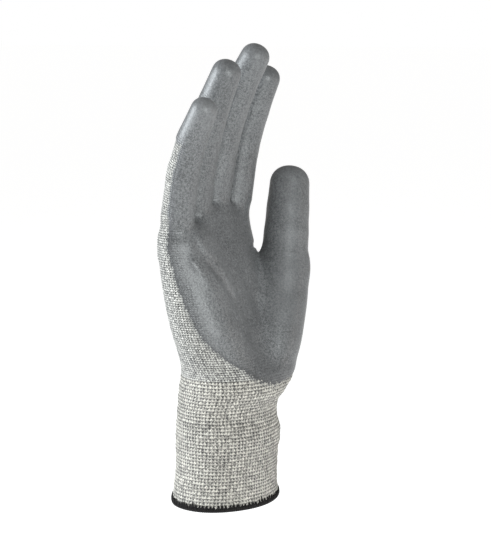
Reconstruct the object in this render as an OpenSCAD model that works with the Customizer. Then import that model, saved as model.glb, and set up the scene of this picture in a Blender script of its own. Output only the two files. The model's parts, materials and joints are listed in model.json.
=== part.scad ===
// Right-hand cut-resistant work glove: a seamless knitted liner, dipped over the palm and
// fingers in a soft coating, with a ribbed cuff and an overlocked hem.
// +Z runs from the wrist opening to the fingertips, +X is the palm side and +Y the thumb side.
// The liner and its coating are divided where the cloth bends, so each part turns about a hinge.

/* [Cuff] */
// Height of the rigid part of the cuff, up to the hinge that tilts the hand sideways
cuff_h = 40; // [32:1:52]
// Half depth of the wrist opening, palm to back
hem_rx = 28; // [23:0.5:34]
// Half width of the wrist opening, little finger side to thumb side
hem_ry = 36; // [29:0.5:43]
// Half depth of the cuff at its waist
cuff_rx = 26.5; // [22:0.5:32]
// Half width of the cuff at its waist
cuff_ry = 34; // [28:0.5:41]
// Height of the overlocked hem
hem_h = 3.2; // [2:0.1:5]
// Thickness of the overlocked hem
hem_t = 2.4; // [1.6:0.1:3.5]
// Number of covered elastic threads laid inside the cuff
elastic_count = 6; // [3:1:8]
// Thickness of one elastic thread
elastic_d = 0.8; // [0.5:0.1:1.2]

/* [Wrist] */
// Height of the wrist band, between the sideways hinge and the bending hinge
band_h = 20; // [16:1:26]
// How far the knit bulges outward where the hand pushes it up at the wrist
wrist_bulge = 1.8; // [0:0.1:3]

/* [Palm] */
// Length of the hand from the bending hinge at the wrist to the web beside the middle finger
palm_len = 113; // [90:1:140]
// Half thickness of the palm at its middle
palm_rx = 19; // [15:0.5:23]
// Cloth outside the row of fingers on each side of the palm
palm_side = 1.6; // [0.8:0.1:3]
// Radius of the swell at the base of the thumb
thenar_r = 18; // [15:0.5:21]
// Radius of the swell at the base of the little finger
hypothenar_r = 16.5; // [13:0.5:19]

/* [Fingers] */
// Little finger: lengths of its three stretches, web to middle joint to tip joint to tip centre
little_len = [25, 19.5, 17.5]; // [12:0.5:45]
// Ring finger: the same three lengths
ring_len = [28.5, 26, 19.5]; // [12:0.5:45]
// Middle finger: the same three lengths
middle_len = [32, 28.5, 20]; // [12:0.5:45]
// Index finger: the same three lengths
index_len = [27.5, 24, 18.5]; // [12:0.5:45]
// Radius of the ring, middle and index fingers at the web
finger_r = 10; // [8:0.1:12]
// How much slimmer the little finger is
little_slim = 0.8; // [0:0.1:1.5]
// Narrowing from one joint to the next along a finger
finger_taper = 0.6; // [0.2:0.1:1]
// Space between neighbouring fingers at the web
finger_gap = 1.6; // [1.2:0.1:3]

/* [Thumb] */
// Thumb: lengths of the root, the first stretch and the tip stretch
thumb_len = [14, 14.5, 14.5]; // [10:0.5:26]
// Radius of the thumb where it leaves the palm
thumb_r = 13; // [10.5:0.25:16]
// Narrowing from one thumb joint to the next
thumb_taper = 0.6; // [0.2:0.1:1]
// Lean of the thumb away from the fingers
thumb_lean = 17; // [8:1:28]

/* [Cloth] */
// Thickness of the knitted liner
knit_t = 1.3; // [0.8:0.1:1.8]
// Thickness of the dipped coating
coat_t = 0.5; // [0.3:0.05:0.9]
// Space between the liner and the coating drawn over it
seat = 0.05; // [0.02:0.01:0.1]

/* [Movement] */
// Bend of the wrist each way
wrist_swing = 32; // [15:1:40]
// Tilt of the hand toward the little finger
tilt_out = 15; // [5:1:20]
// Tilt of the hand toward the thumb
tilt_in = 10; // [5:1:20]
// Largest bend at a knuckle
knuckle_close = 60; // [40:1:75]
// Backward bend at a knuckle
knuckle_open = 8; // [0:1:15]
// Largest bend at a finger's middle joint
middle_close = 60; // [40:1:75]
// Backward bend at a finger's middle joint, from its curved rest
middle_open = 8; // [0:1:12]
// Share of the middle joint's bend that the tip joint follows
tip_share = 0.45; // [0.2:0.05:0.7]
// Swing of the thumb away from the hand
swing_out = 25; // [10:1:30]
// Room at the hinge for the thumb to swing in toward the index finger
swing_in = 6; // [2:1:10]
// Room at the hinge for the bend at the thumb's first joint
thumb_close = 25; // [10:1:35]
// Largest bend at the thumb's tip joint
thumb_tip_close = 40; // [20:1:50]
// Space left between two parts at a hinge
fold_gap = 0.7; // [0.5:0.1:1.5]

/* [Hidden] */
FINGERS = ["little", "ring", "middle", "index"];

KNIT = "#b9bab2";
COAT = "#6f7274";
HEM = "#1d1a19";
THREAD = "#e4e2da";

finger_cols = 18;                  // columns of faces round a finger
tube_cols = 40;                    // columns of faces round the cuff
skin = seat + coat_t;              // from the liner's outside to the coating's outside
bend_z = cuff_h + band_h;          // height of the wrist's bending hinge
web_z = bend_z + palm_len;         // height of the web beside the middle finger

// ---- small helpers -------------------------------------------------------------------------

function lerp(a, b, t) = a + (b - a) * t;
function ease(t) = t * t * (3 - 2 * t);
function clamp(v, lo, hi) = max(lo, min(hi, v));
function sum_to(v, k) = k <= 0 ? 0 : v[k - 1] + sum_to(v, k - 1);

// Value at z between the rows of a table whose first column is z, eased from row to row
function row_at(rows, z, i = 0) =
    z <= rows[0][0] ? rows[0]
    : i >= len(rows) - 1 ? rows[len(rows) - 1]
    : z > rows[i + 1][0] ? row_at(rows, z, i + 1)
    : lerp(rows[i], rows[i + 1], ease((z - rows[i][0]) / (rows[i + 1][0] - rows[i][0])));

// A wall between an outer and an inner grid of points: rows run along it and columns round it.
// ring closes it round; tip holds the outer and the inner end point of a closed end.
module wall(outer, inner, ring = true, tip = []) {
    rows = len(outer);
    cols = len(outer[0]);
    n = rows * cols;
    spans = ring ? cols : cols - 1;
    top = rows - 1;
    function o(i, j) = i * cols + j % cols;
    function q(i, j) = n + o(i, j);
    sides = [for (i = [0:rows - 2], j = [0:spans - 1]) each [
        [o(i, j), o(i + 1, j), o(i + 1, j + 1)], [o(i, j), o(i + 1, j + 1), o(i, j + 1)],
        [q(i, j), q(i + 1, j + 1), q(i + 1, j)], [q(i, j), q(i, j + 1), q(i + 1, j + 1)]]];
    foot = [for (j = [0:spans - 1]) each [
        [o(0, j), o(0, j + 1), q(0, j + 1)], [o(0, j), q(0, j + 1), q(0, j)]]];
    head = [for (j = [0:spans - 1]) each len(tip) > 0
        ? [[o(top, j), 2 * n, o(top, j + 1)], [q(top, j), q(top, j + 1), 2 * n + 1]]
        : [[q(top, j), q(top, j + 1), o(top, j + 1)], [q(top, j), o(top, j + 1), o(top, j)]]];
    edges = ring ? [] : [for (i = [0:rows - 2]) each [
        [q(i, 0), q(i + 1, 0), o(i + 1, 0)], [q(i, 0), o(i + 1, 0), o(i, 0)],
        [o(i, spans), o(i + 1, spans), q(i + 1, spans)],
        [o(i, spans), q(i + 1, spans), q(i, spans)]]];
    polyhedron(points = concat([for (r = outer) each r], [for (r = inner) each r], tip),
               faces = concat(sides, foot, head, edges), convexity = 6);
}

// A closed solid through a stack of rings, its ends flat
module solid(rings) {
    cols = len(rings[0]);
    top = len(rings) - 1;
    polyhedron(
        points = [for (r = rings) each r],
        faces = concat(
            [for (i = [0:top - 1], j = [0:cols - 1]) each [
                [i * cols + j, (i + 1) * cols + j, (i + 1) * cols + (j + 1) % cols],
                [i * cols + j, (i + 1) * cols + (j + 1) % cols, i * cols + (j + 1) % cols]]],
            [[for (j = [0:cols - 1]) j]],
            [[for (j = [cols - 1:-1:0]) top * cols + j]]),
        convexity = 6);
}

// ---- cuff and wrist ------------------------------------------------------------------------

// Rows of the sleeve: height, centre in X, half depth, half width
SLEEVE = [
    [0, 0, hem_rx, hem_ry],
    [8, 0, lerp(hem_rx, cuff_rx, 0.6), lerp(hem_ry, cuff_ry, 0.6)],
    [cuff_h / 2, 0.8, cuff_rx, cuff_ry],
    [cuff_h - 2, 1.8, cuff_rx + 0.8, cuff_ry + 1],
    [bend_z - 4, 1.7, cuff_rx - 0.5, cuff_ry - 0.2],
    [bend_z + 5, 5, cuff_rx + wrist_bulge, cuff_ry + wrist_bulge],
    [bend_z + 14, 5.6, cuff_rx + wrist_bulge - 0.6, cuff_ry + wrist_bulge + 0.4]];

function sleeve_pt(z, a, grow) = let (s = row_at(SLEEVE, z))
    [s[1] + (s[2] + grow) * cos(a), (s[3] + grow) * sin(a), z];

// Room that a wall leaves at a hinge: the cut rises with the distance from the hinge line
function room(d, swing) = fold_gap / 2 + abs(d) * tan(swing / 2);

// Where the sleeve's two hinges cut it, at a point x, y from their lines
function tilt_room(y) = room(y, y < 0 ? tilt_out : tilt_in);
function bend_room(x) = room(x, wrist_swing);

// A length of sleeve between two heights that may change round it
function sleeve_rings(grow, low, high, rows) = [for (i = [0:rows]) [for (j = [0:tube_cols - 1])
    let (a = 360 * j / tube_cols,
         p = sleeve_pt(cuff_h, a, grow),
         z = lerp(low(p), high(p), i / rows))
    sleeve_pt(z, a, grow)]];

module sleeve(low, high, rows) {
    wall(sleeve_rings(0, low, high, rows), sleeve_rings(-knit_t, low, high, rows));
}

module hem_overlock() {
    proud = hem_t - knit_t;
    low = function (p) 0;
    high = function (p) hem_h;
    color(HEM) wall(sleeve_rings(proud / 2, low, high, 3), sleeve_rings(-knit_t - proud / 2, low, high, 3));
}

module cuff_knit() {
    color(KNIT) sleeve(function (p) hem_h + seat, function (p) cuff_h - tilt_room(p[1]), 8);
}

module cuff_elastic() {
    first = hem_h + 3;
    pitch = (cuff_h - 8 - first) / (elastic_count - 1);
    color(THREAD) for (k = [0:elastic_count - 1]) {
        z = first + k * pitch;
        low = function (p) z;
        high = function (p) z + elastic_d;
        wall(sleeve_rings(-knit_t - seat, low, high, 1),
             sleeve_rings(-knit_t - seat - elastic_d, low, high, 1));
    }
}

module wrist_band_knit() {
    color(KNIT) sleeve(function (p) cuff_h + tilt_room(p[1]),
                       function (p) bend_z - bend_room(p[0] - BEND_X), 5);
}

// ---- fingers -------------------------------------------------------------------------------

BEND_X = 2;                        // the wrist's bending hinge, across the sleeve's middle

// Radius of each finger at its web
WEB_R = [finger_r - little_slim, finger_r, finger_r, finger_r];
// Stretches of each finger
LEN = [little_len, ring_len, middle_len, index_len];
// Lean of each finger toward the thumb side
SPLAY = [-5, -2, 1, 3];
// Lean of each stretch toward the palm, as the glove rests
BENDS = [[11, 21, 28], [11, 19, 26], [11, 21, 30], [8, 17, 24]];
// How far each web lies below the middle finger's
WEB_DROP = [10, 3, 0, 4];
// Each web's place in X: the row of knuckles is arched
WEB_X = [-11.5, -14, -14.5, -13];

row_w = WEB_R[0] + 2 * WEB_R[1] + 2 * WEB_R[2] + WEB_R[3] + 3 * finger_gap;
function web_y(i) = i == 0 ? -row_w / 2 : web_y(i - 1) + WEB_R[i - 1] + WEB_R[i] + finger_gap;
palm_ry = row_w / 2 + WEB_R[3] + palm_side;

function along(f, s) = [sin(f), cos(f) * sin(s), cos(f) * cos(s)];
function toward_palm(f, s) = [cos(f), -sin(f) * sin(s), -sin(f) * cos(s)];
function across(s) = [0, cos(s), -sin(s)];

// A stretch is [pivot, direction, palm direction, side direction, length, radius low, radius high,
//   closing at its foot, opening at its foot, closing at its head, opening at its head]
function stretch(i, k) =
    let (f = BENDS[i], s = SPLAY[i], n = LEN[i], r = WEB_R[i],
         web = [WEB_X[i], web_y(i), web_z - WEB_DROP[i]],
         p0 = web,
         p1 = p0 + n[0] * along(f[0], s),
         p2 = p1 + n[1] * along(f[1], s),
         rest = [f[0], f[1] - f[0], f[2] - f[1], 0],
         closing = [knuckle_close, middle_close, middle_close * tip_share, 0],
         opening = [knuckle_open, middle_open, middle_open * tip_share, 0])
    [[p0, p1, p2][k], along(f[k], s), toward_palm(f[k], s), across(s), n[k],
     r - k * finger_taper, r - (k + 1) * finger_taper - (k == 2 ? 0.4 : 0),
     closing[k] + rest[k], max(0, opening[k] - rest[k]),
     closing[k + 1] + rest[k + 1], max(0, opening[k + 1] - rest[k + 1])];

// A point on a stretch: t along it, a round it from the palm side, r from its centre line
function on(st, t, a, r) = st[0] + t * st[1] + r * (cos(a) * st[2] + sin(a) * st[3]);

function radius_at(st, t) = lerp(st[5], st[6], clamp(t / st[4], 0, 1));

// Columns from a0 to a1 round a stretch; both ends stop short of the hinge
function stretch_rings(st, grow, a0, a1, cols, rows, closed_tip) = [for (i = [0:rows])
    [for (j = [0:cols]) if (a1 - a0 < 360 || j < cols)
        let (a = lerp(a0, a1, j / cols),
             foot_x = (st[5] + grow) * cos(a),
             head_x = (st[6] + grow) * cos(a),
             t0 = room(foot_x, foot_x > 0 ? st[7] : st[8]),
             t1 = closed_tip ? st[4] : st[4] - room(head_x, head_x > 0 ? st[9] : st[10]),
             t = lerp(t0, t1, i / rows))
        on(st, t, a, radius_at(st, t) + grow)]];

// Rings of the rounded end of a stretch, above its last straight ring
TIP_STEPS = [30, 58];
function tip_rings(st, grow, cols) = [for (e = TIP_STEPS)
    [for (j = [0:cols - 1])
        on(st, st[4] + (st[6] + grow) * sin(e), 360 * j / cols, (st[6] + grow) * cos(e))]];
function tip_point(st, grow) = on(st, st[4] + st[6] + grow, 0, 0);

module tube(st, out, into, half_angle, rows, closed_tip) {
    full = half_angle >= 180;
    cols = round(finger_cols * half_angle / 180);
    a0 = full ? 0 : -half_angle;
    a1 = full ? 360 : half_angle;
    outer = stretch_rings(st, out, a0, a1, cols, rows, closed_tip);
    inner = stretch_rings(st, into, a0, a1, cols, rows, closed_tip);
    if (closed_tip)
        wall(concat(outer, tip_rings(st, out, cols)), concat(inner, tip_rings(st, into, cols)),
             true, [tip_point(st, out), tip_point(st, into)]);
    else
        wall(outer, inner, full);
}

// The coating covers the palm side of a stretch and all of a fingertip, to a whole column of faces
COAT_HALF = [100, 100, 180];
THUMB_COAT_HALF = [120, 120, 180];

module finger_knit(i, k) {
    color(KNIT) tube(stretch(i, k), -skin, -skin - knit_t, 180, 3, k == 2);
}

module finger_coating(i, k) {
    color(COAT) tube(stretch(i, k), 0, -coat_t, COAT_HALF[k], 3, k == 2);
}

// ---- thumb ---------------------------------------------------------------------------------

THUMB_BASE = [14.5, palm_ry - 1, web_z - 38];    // centre of the thumb where it leaves the palm
THUMB_FACE = -52;                                // way the thumb's pad faces, from +X toward -Y
thumb_dir = [-sin(5), sin(thumb_lean) * cos(5), cos(thumb_lean) * cos(5)];

function unit(v) = v / norm(v);
// The pad's direction, square to the thumb, and the side direction that completes the set
thumb_pad = let (w = [cos(THUMB_FACE), sin(THUMB_FACE), 0]) unit(w - (w * thumb_dir) * thumb_dir);
thumb_side = cross(thumb_dir, thumb_pad);
THUMB_CLOSE = [0, thumb_close, thumb_tip_close, 0];
THUMB_OPEN = [0, 6, 6, 0];

function thumb_stretch(k) =
    [THUMB_BASE + sum_to(thumb_len, k) * thumb_dir, thumb_dir, thumb_pad, thumb_side,
     thumb_len[k], thumb_r - k * thumb_taper, thumb_r - (k + 1) * thumb_taper,
     THUMB_CLOSE[k], THUMB_OPEN[k], THUMB_CLOSE[k + 1], THUMB_OPEN[k + 1]];

// The root swings about the pad's direction, so its foot is cut along the side direction
module thumb_tube(k, out, into, half_angle) {
    st = thumb_stretch(k);
    difference() {
        tube(st, out, into, half_angle, 3, k == 2);
        if (k == 0) thumb_swing_room(1);
    }
}

// The room at the swing's hinge: way is 1 at the thumb's foot and -1 at the palm below it
module thumb_swing_room(way) {
    st = thumb_stretch(0);
    reach = thumb_r + 2;
    multmatrix([for (r = [0:2]) [st[3][r], st[1][r], st[2][r], st[0][r]]])
        translate([0, 0, -reach]) linear_extrude(2 * reach)
            polygon([[-reach, way * room(reach, swing_in)], [0, way * room(0, 0)],
                     [reach, way * room(reach, swing_out)], [reach, -way * reach],
                     [-reach, -way * reach]]);
}

module thumb_knit(k) {
    color(KNIT) thumb_tube(k, -skin, -skin - knit_t, 180);
}

module thumb_coating(k) {
    color(COAT) thumb_tube(k, 0, -coat_t, THUMB_COAT_HALF[k]);
}

// ---- palm ----------------------------------------------------------------------------------

// Rows of the palm's flat oval: height, centre in X, half depth, half width
function palm_z(share) = bend_z + share * palm_len;
PALM = [
    [palm_z(0.00), 3, cuff_rx + 0.6, cuff_ry + 0.4],
    [palm_z(0.05), 5, cuff_rx + wrist_bulge, cuff_ry + wrist_bulge],
    [palm_z(0.12), 5.6, cuff_rx + wrist_bulge - 0.6, cuff_ry + wrist_bulge + 0.4],
    [palm_z(0.20), 2.1, palm_rx + 2, palm_ry - 4],
    [palm_z(0.36), -2.8, palm_rx + 0.5, palm_ry - 1.4],
    [palm_z(0.60), -8.6, palm_rx - 1, palm_ry - 0.4],
    [palm_z(0.80), -11.8, palm_rx - 4, palm_ry],
    [palm_z(0.87), -12.4, palm_rx - 6.5, palm_ry - 0.6]];
// Rows of the swells at the base of the thumb and of the little finger: height, x, y, radius
THENAR = [
    [palm_z(0.05), 9, 6, thenar_r - 4],
    [palm_z(0.14), 12, 12, thenar_r - 1.5],
    [palm_z(0.24), 15, 20, thenar_r],
    [palm_z(0.36), 16, 28, thenar_r - 1],
    [palm_z(0.50), 16.3, palm_ry - 8, thenar_r - 3.2],
    [palm_z(0.58), 15, palm_ry - 6.5, thenar_r - 7.5],
    [palm_z(0.65), 9, palm_ry - 13, thenar_r - 12]];
HYPOTHENAR = [
    [palm_z(0.10), 7, -12, hypothenar_r - 4],
    [palm_z(0.34), 4, -21, hypothenar_r],
    [palm_z(0.58), -3, -23, hypothenar_r - 1],
    [palm_z(0.80), -9, -24, hypothenar_r - 5]];

palm_rows = 18;

// How far a ray from c along u runs before it leaves a round swell
function swell_ray(c, u, q) = let (w = [q[1] - c[0], q[2] - c[1]], b = w * u, d = b * b - w * w + q[3] * q[3])
    d > 0 ? b + sqrt(d) : 0;

// One ring of the palm: the oval, pushed out by the two swells
function palm_ring(z, grow) = let (r = row_at(PALM, z), c = [r[1], 0],
                                   thenar = row_at(THENAR, z), little = row_at(HYPOTHENAR, z))
    [for (j = [0:tube_cols - 1])
        let (a = 360 * j / tube_cols,
             oval = [r[2] * cos(a), r[3] * sin(a)],
             u = unit(oval),
             reach = max(norm(oval), swell_ray(c, u, thenar), swell_ray(c, u, little)) + grow)
        [c[0] + reach * u[0], reach * u[1], z]];

// The hand's whole outline, grown or shrunk; run lengthens its open ends
module palm_form(grow, run = 0) {
    foot = palm_z(0) - run;
    head = palm_z(0.87) + grow;
    solid(concat([for (z = run > 0 ? [foot] : []) [for (p = palm_ring(palm_z(0), grow)) [p[0], p[1], z]]],
                 [for (i = [0:palm_rows]) palm_ring(lerp(palm_z(0), head, i / palm_rows), grow)],
                 [[for (p = palm_ring(head, grow - 2.5)) [p[0], p[1], head + 2.5]]]));
    for (st = [stretch(0, 0), stretch(1, 0), stretch(2, 0), stretch(3, 0), thumb_stretch(0)])
        solid([for (t = [-20, 0, 6 + run]) [for (j = [0:finger_cols - 1])
            on(st, t, 360 * (j + 0.25) / finger_cols, st[5] - skin + grow)]]);
}

// What the hinges take off the palm: above each finger's foot, above the thumb's, below the wrist
module palm_cuts() {
    reach = 40;
    for (i = [0:3]) {
        st = stretch(i, 0);
        shut = st[7];
        back = st[8];
        wide = WEB_R[i] + finger_gap + 0.1;
        multmatrix([for (r = [0:2]) [[1, 0, 0][r], across(SPLAY[i])[r], along(0, SPLAY[i])[r], st[0][r]]])
            rotate([90, 0, 0]) translate([0, 0, -wide]) linear_extrude(2 * wide)
                polygon([[0, -fold_gap / 2], [reach, -room(reach, shut)], [reach, reach],
                         [-reach, reach], [-reach, -room(reach, back)]]);
    }
    thumb_swing_room(-1);
    rotate([90, 0, 0]) translate([BEND_X, 0, -100]) linear_extrude(200)
        polygon([[0, bend_z + fold_gap / 2], [70, bend_z + room(70, wrist_swing)],
                 [70, bend_z - 80], [-70, bend_z - 80], [-70, bend_z + room(70, wrist_swing)]]);
}

module palm_knit() {
    color(KNIT) resize([0, 0, 0]) difference() {
        palm_form(0);
        palm_form(-knit_t, 14);
        palm_cuts();
    }
}

// Outline of the dip, seen from the side: the coating's lower edge and everything above it
DIP = [[-10, web_z + 20], [-10, web_z - 4], [-7.5, bend_z + 92], [-4.5, bend_z + 78],
       [-0.7, bend_z + 64], [6, bend_z + 41], [16, bend_z + 25], [21, bend_z + 14],
       [26, bend_z + 8], [60, bend_z + 8], [60, web_z + 20]];

module palm_coating() {
    color(COAT) resize([0, 0, 0]) difference() {
        intersection() {
            palm_form(skin);
            rotate([90, 0, 0]) translate([0, 0, -80]) linear_extrude(160) polygon(DIP);
        }
        palm_form(seat, 14);
        palm_cuts();
    }
}

hem_overlock();
cuff_knit();
cuff_elastic();
wrist_band_knit();
palm_knit();
palm_coating();
for (i = [0:3]) {
    finger_knit(i, 0);
    finger_knit(i, 1);
    finger_knit(i, 2);
    finger_coating(i, 0);
    finger_coating(i, 1);
    finger_coating(i, 2);
}
thumb_knit(0);  // thumb_root_knit
thumb_knit(1);  // thumb_proximal_knit
thumb_knit(2);  // thumb_distal_knit
thumb_coating(0);  // thumb_root_coating
thumb_coating(1);  // thumb_proximal_coating
thumb_coating(2);  // thumb_distal_coating
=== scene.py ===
import bmesh
import bpy
import json
import math
import numpy as np
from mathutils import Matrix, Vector


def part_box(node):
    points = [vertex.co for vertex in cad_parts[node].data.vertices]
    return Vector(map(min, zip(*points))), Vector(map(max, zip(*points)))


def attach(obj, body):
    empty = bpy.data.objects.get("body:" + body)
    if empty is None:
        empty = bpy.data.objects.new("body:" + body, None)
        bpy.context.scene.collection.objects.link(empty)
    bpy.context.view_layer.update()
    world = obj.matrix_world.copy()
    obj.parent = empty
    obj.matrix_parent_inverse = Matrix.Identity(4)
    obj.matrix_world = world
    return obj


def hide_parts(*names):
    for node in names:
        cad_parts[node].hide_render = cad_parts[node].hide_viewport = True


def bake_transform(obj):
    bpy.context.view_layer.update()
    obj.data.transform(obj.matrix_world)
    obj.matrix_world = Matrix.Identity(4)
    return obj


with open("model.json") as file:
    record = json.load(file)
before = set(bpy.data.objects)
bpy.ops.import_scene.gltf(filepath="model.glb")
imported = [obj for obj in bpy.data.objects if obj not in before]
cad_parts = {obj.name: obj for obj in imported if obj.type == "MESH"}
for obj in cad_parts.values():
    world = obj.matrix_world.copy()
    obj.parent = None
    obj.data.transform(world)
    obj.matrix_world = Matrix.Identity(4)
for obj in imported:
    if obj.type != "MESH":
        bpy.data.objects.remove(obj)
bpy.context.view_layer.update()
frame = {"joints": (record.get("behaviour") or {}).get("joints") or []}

# ---- Studio --------------------------------------------------------------------------------------
# A wide pale floor below the glove, a white room, a large cool key light on the little finger's
# side, a narrow light in front, a weak warm one on the thumb's side and a weak one above. The
# camera faces the palm from 30 degrees round. Turns and rises are in degrees.

MM = 0.001
LOOK_AT = Vector((0.013, 0, 0.126))
CAMERA_TURN = 30
CAMERA_RISE = 8
CAMERA_AWAY = 1.0
FLOOR_Z = -0.09


def from_camera_side(turn, rise, away):
    """A place round the glove: turn is counted from the camera's own side of it."""
    round_z = math.radians(CAMERA_TURN + turn)
    rise = math.radians(rise)
    flat = away * math.cos(rise)
    return LOOK_AT + Vector((math.sin(round_z) * flat, -math.cos(round_z) * flat, away * math.sin(rise)))


bpy.ops.object.select_all(action="DESELECT")
bpy.ops.mesh.primitive_plane_add(size=60, location=(0, 0, FLOOR_Z))
floor = bpy.context.object
floor.name = "floor"
floor_paint = bpy.data.materials.new("floor_paint")
floor_paint.use_nodes = True
for socket, value in (("Base Color", (0.35, 0.35, 0.35, 1)), ("Roughness", 0.9),
                      ("Emission Color", (1, 1, 1, 1)), ("Emission Strength", 0.89)):
    floor_paint.node_tree.nodes["Principled BSDF"].inputs[socket].default_value = value
floor.data.materials.append(floor_paint)

room = bpy.data.worlds.new("room")
room.use_nodes = True
bpy.context.scene.world = room
room_nodes = room.node_tree.nodes
seen_white = room_nodes.new("ShaderNodeBackground")
seen_white.inputs["Color"].default_value = (1, 1, 1, 1)
room_light = room_nodes["Background"]
room_light.inputs["Color"].default_value = (1.0, 0.985, 0.965, 1)
room_light.inputs["Strength"].default_value = 0.26
whose_ray = room_nodes.new("ShaderNodeLightPath")
room_mix = room_nodes.new("ShaderNodeMixShader")
room.node_tree.links.new(whose_ray.outputs["Is Camera Ray"], room_mix.inputs[0])
room.node_tree.links.new(room_light.outputs[0], room_mix.inputs[1])
room.node_tree.links.new(seen_white.outputs[0], room_mix.inputs[2])
room.node_tree.links.new(room_mix.outputs[0], room_nodes["World Output"].inputs["Surface"])


def soft_light(name, turn, rise, away, size, power, colour):
    bpy.ops.object.light_add(type="AREA", location=from_camera_side(turn, rise, away))
    lamp = bpy.context.object
    lamp.name = name
    lamp.data.shape = "RECTANGLE"
    lamp.data.size = size
    lamp.data.size_y = size * 1.6
    lamp.data.energy = power
    lamp.data.color = colour
    lamp.rotation_euler = (LOOK_AT - lamp.location).to_track_quat("-Z", "Y").to_euler()


soft_light("key_light", -88, 12, 1.0, 0.34, 16.5, (0.90, 0.96, 1.0))
soft_light("strip_light", 20, 12, 1.0, 0.12, 8.0, (0.95, 1.0, 1.0))
soft_light("warm_fill", 85, 0, 1.2, 0.4, 1.4, (1.0, 0.84, 0.74))
soft_light("top_light", -25, 62, 1.2, 0.5, 2.0, (1.0, 1.0, 1.0))

bpy.ops.object.camera_add(location=from_camera_side(0, CAMERA_RISE, CAMERA_AWAY))
camera = bpy.context.object
camera.name = "camera"
camera.data.lens = 115.4
camera.data.clip_end = 100
camera.rotation_euler = (LOOK_AT - camera.location).to_track_quat("-Z", "Y").to_euler()
bpy.context.scene.camera = camera
bpy.context.scene.view_settings.view_transform = "Standard"

# ---- The hand's form -----------------------------------------------------------------------------
# The knitted liner is one seamless skin over the hand inside, so every piece below is laid on one
# form, given in millimetres as a distance: below zero inside the glove and above zero outside it.

joint = {j["name"]: j for j in frame["joints"]}
FINGERS = ["little", "ring", "middle", "index"]
WEB_RADIUS = [9.2, 10.0, 10.0, 10.0]
RADIUS_STEP = 0.6                   # how much slimmer a finger gets from joint to joint
TIP_RADIUS_STEP = 1.0
LEANS = [[11, 21, 28], [11, 19, 26], [11, 21, 30], [8, 17, 24]]
SPLAY = [-5, -2, 1, 3]
LAST_STRETCH = [17.5, 19.5, 20, 18.5]
THUMB_RADIUS = [13.0, 12.4, 11.8, 11.2]
THUMB_LAST_STRETCH = 13


def pivot(name):
    return np.array(joint[name]["pos_m"]) / MM


def unit(v):
    return v / np.linalg.norm(v)


def blend_to(a, b, t):
    return a + (b - a) * t


def ramp(low, high, x):
    t = np.clip((x - low) / (high - low), 0, 1)
    return t * t * (3 - 2 * t)


def soft_min(a, b, width):
    h = np.clip(0.5 + 0.5 * (b - a) / width, 0, 1)
    return blend_to(b, a, h) - width * h * (1 - h)


def table(rows):
    """The knots of a table's first column, and each later column's values and slopes."""
    rows = np.array(rows, float)
    return rows[:, 0], rows.T, np.array([np.gradient(column, rows[:, 0]) for column in rows.T])


def through(rows, column, x):
    """A smooth curve through one column of a table, along its first column."""
    knots, values, slopes = rows[0], rows[1][column], rows[2][column]
    x = np.clip(x, knots[0], knots[-1])
    i = np.clip(np.searchsorted(knots, x) - 1, 0, len(knots) - 2)
    span = knots[i + 1] - knots[i]
    t = (x - knots[i]) / span
    tt, ttt = t * t, t * t * t
    return ((2 * ttt - 3 * tt + 1) * values[i] + (ttt - 2 * tt + t) * span * slopes[i]
            + (3 * tt - 2 * ttt) * values[i + 1] + (ttt - tt) * span * slopes[i + 1])


# Flat oval of the sleeve and palm: height, centre in X, half depth, half width
OVAL = table([[-2, 0, 28.1, 36.2], [8, 0, 27.1, 34.8], [20, .8, 26.5, 34], [38, 1.8, 27.3, 35],
              [56, 1.7, 26, 33.8], [65, 5, 28.3, 35.8], [74, 5.6, 26.8, 36.2], [84, 2.1, 21.6, 39.2],
              [101, -2.8, 19.5, 42.2], [128, -8.6, 17.6, 43.2], [148, -11.9, 13.8, 43.6],
              [159, -13.3, 10.8, 43], [168, -13.9, 9.2, 42.3], [178, -14, 8.8, 41.5]])
# Swells at the base of the thumb and of the little finger: height, centre in X and Y, radius
THENAR = table([[60, 10, 8, 6], [66, 12.5, 14, 14], [72, 13.8, 16.5, 17], [82, 15, 19, 18.4],
                [101, 16, 28, 17], [116, 16.3, 35.6, 14.8], [135, 14.5, 42.6, 12.6],
                [146, 12.5, 43.5, 5], [154, 11, 44, -6]])
HYPOTHENAR = table([[62, 8, -10, 6], [78, 9, -15, 14.5], [98, 4, -21, 16.5], [120, -3, -23, 15.5],
                    [142, -9, -24, 13.5], [158, -11, -27, 9], [170, -12, -30, 0]])
# Height of the palm's top edge across the row of fingers
WEB_EDGE = table([[-44, 153], [-32, 156], [-22, 158.5], [-11, 164], [0, 166.5], [10, 167.5],
                  [21, 165.5], [32, 162], [44, 157]])
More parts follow.
